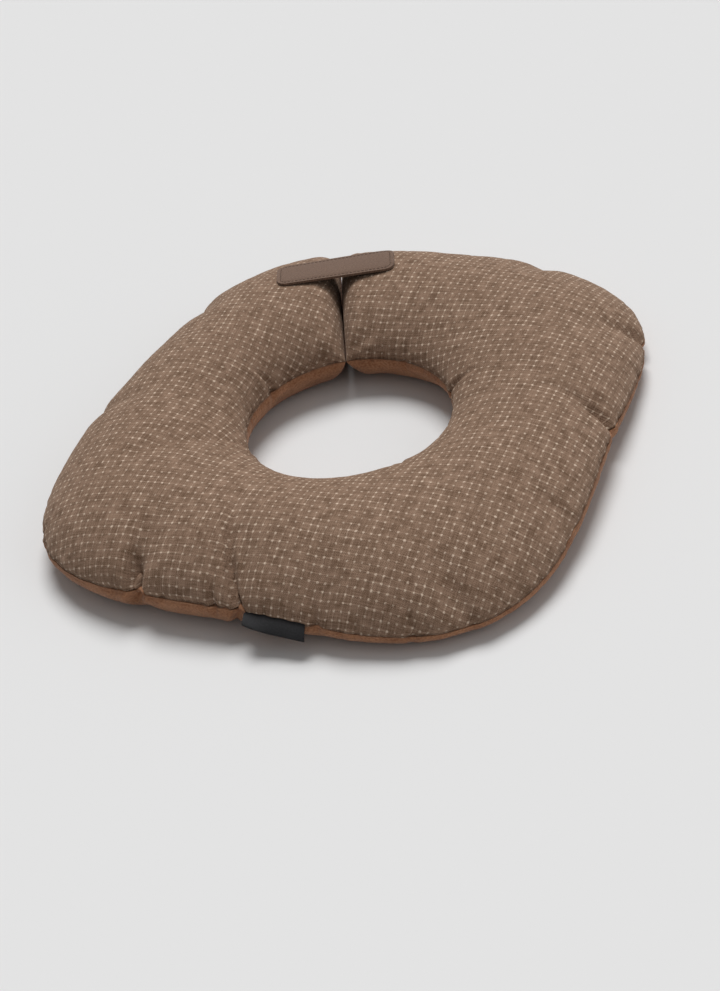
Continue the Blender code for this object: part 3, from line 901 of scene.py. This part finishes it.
frame_path = []
for quarter in range(4):
    for k in range(4):
        turn = math.pi / 2 * (quarter + k / 3)
        middle_x = (half_long - inset_corner) * (1 if quarter in (0, 3) else -1)
        middle_y = (half_wide - inset_corner) * (1 if quarter in (0, 1) else -1)
        frame_path.append((middle_x + inset_corner * math.cos(turn), middle_y + inset_corner * math.sin(turn)))
frame_path.append(frame_path[0])
cross_path = [(0.012, -half_wide), (0.012, half_wide)]
mesh = bmesh.new()
for x, y, way_x, way_y in run_of_stitches(frame_path) + run_of_stitches(cross_path):
    middle = strap_point(x, y, STRAP_THICKNESS - 0.0004)
    ahead = (strap_point(x + way_x * 0.001, y + way_y * 0.001, STRAP_THICKNESS - 0.0004) - middle).normalized()
    beside = Vector((0.0, 0.0, 1.0)).cross(ahead).normalized()
    over = ahead.cross(beside)
    stretch = Matrix((ahead * STITCH_LENGTH / 2, beside * STITCH_THICKNESS / 2, over * STITCH_THICKNESS / 2))
    bmesh.ops.create_icosphere(mesh, subdivisions=1, radius=1.0,
                               matrix=Matrix.Translation(middle) @ stretch.transposed().to_4x4())
stitch_data = bpy.data.meshes.new("strap_stitches")
mesh.to_mesh(stitch_data)
mesh.free()
stitch_data.shade_smooth()
stitches = bpy.data.objects.new("strap_stitches", stitch_data)
bpy.context.collection.objects.link(stitches)

# Spun polyester thread: dull brown, with the twist of its plies across each stitch
PLY_SIZE = 0.0004
thread = bpy.data.materials.new("spun_polyester_thread")
thread.use_nodes = True
tree = thread.node_tree
surface = tree.nodes["Principled BSDF"]
anywhere = add(tree, "ShaderNodeTexCoord", {}, {})
plies = add(tree, "ShaderNodeTexNoise", {}, {
    "Vector": anywhere.outputs["Object"], "Scale": 1.0 / PLY_SIZE, "Detail": 1.0,
})
thread_colour = add(tree, "ShaderNodeMix", {"data_type": "RGBA"}, {
    "Factor": plies.outputs["Fac"], 6: linear("3f2f25"), 7: linear("6d5544"),
})
tree.links.new(thread_colour.outputs[2], surface.inputs["Base Color"])
bump = add(tree, "ShaderNodeBump", {}, {"Height": plies.outputs["Fac"], "Strength": 0.5, "Distance": 0.0001})
tree.links.new(bump.outputs[0], surface.inputs["Normal"])
surface.inputs["Roughness"].default_value = 0.7
stitches.data.materials.append(thread)
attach(stitches, "root")


# Floor, light and camera
# A plain pale floor, a wide soft light from the upper left, a weak one from the right and
# an even surround. The camera stands where the photograph's view of the ring puts it.
floor_mesh = bmesh.new()
bmesh.ops.create_grid(floor_mesh, x_segments=1, y_segments=1, size=12.0)
floor_data = bpy.data.meshes.new("pale_floor")
floor_mesh.to_mesh(floor_data)
floor_mesh.free()
floor = bpy.data.objects.new("pale_floor", floor_data)
bpy.context.collection.objects.link(floor)
floor.location.z = -0.0002
paint = bpy.data.materials.new("matt_floor_paint")
paint.use_nodes = True
paint.node_tree.nodes["Principled BSDF"].inputs["Base Color"].default_value = linear("e6e6e6")
paint.node_tree.nodes["Principled BSDF"].inputs["Roughness"].default_value = 0.9
paint.node_tree.nodes["Principled BSDF"].inputs["Specular IOR Level"].default_value = 0.1
floor.data.materials.append(paint)

world = bpy.data.worlds.new("even_studio")
world.use_nodes = True
world.node_tree.nodes["Background"].inputs["Color"].default_value = linear("ffffff")
world.node_tree.nodes["Background"].inputs["Strength"].default_value = 0.225
bpy.context.scene.world = world

sun = bpy.data.lights.new("soft_window", "SUN")
sun.energy = 2.60
sun.angle = math.radians(34)
sun_object = bpy.data.objects.new("soft_window", sun)
bpy.context.collection.objects.link(sun_object)
sun_direction = Vector((-0.26, 0.80, 1.30)).normalized()
sun_object.rotation_euler = sun_direction.to_track_quat("Z", "Y").to_euler()

# A white board on the right throws a little light back on that side's rim
board = bpy.data.lights.new("white_board", "SUN")
board.energy = 0.42
board.angle = math.radians(60)
board_object = bpy.data.objects.new("white_board", board)
bpy.context.collection.objects.link(board_object)
board_direction = Vector((1.0, 0.05, 0.40)).normalized()
board_object.rotation_euler = board_direction.to_track_quat("Z", "Y").to_euler()

CAMERA_AZIMUTH = math.radians(28.4)
CAMERA_ELEVATION = math.radians(36.7)
CAMERA_ROLL = math.radians(-12.4)
CAMERA_DISTANCE = 2.005
FOCAL_PIXELS = 2706.0
IMAGE_WIDTH, IMAGE_HEIGHT = 720, 991
HOLE_PIXEL_X, HOLE_PIXEL_Y = 355.5, 449.2
back = Vector((
    math.sin(CAMERA_AZIMUTH) * math.cos(CAMERA_ELEVATION),
    -math.cos(CAMERA_AZIMUTH) * math.cos(CAMERA_ELEVATION),
    math.sin(CAMERA_ELEVATION),
))
level = Vector((0.0, 0.0, 1.0)).cross(back).normalized()
upright = back.cross(level)
right = level * math.cos(CAMERA_ROLL) + upright * math.sin(CAMERA_ROLL)
up = upright * math.cos(CAMERA_ROLL) - level * math.sin(CAMERA_ROLL)
aside = (HOLE_PIXEL_X - IMAGE_WIDTH / 2) / FOCAL_PIXELS * CAMERA_DISTANCE
above = -(HOLE_PIXEL_Y - IMAGE_HEIGHT / 2) / FOCAL_PIXELS * CAMERA_DISTANCE
camera = bpy.data.cameras.new("camera")
camera.sensor_width = 36.0
camera.lens = FOCAL_PIXELS * camera.sensor_width / IMAGE_HEIGHT
camera_object = bpy.data.objects.new("camera", camera)
bpy.context.collection.objects.link(camera_object)
stand = shift + back * CAMERA_DISTANCE - right * aside - up * above
turned = Matrix((right, up, back)).transposed().to_4x4()
camera_object.matrix_world = Matrix.Translation(stand) @ turned
bpy.context.scene.camera = camera_object
bpy.context.scene.view_settings.view_transform = "Standard"
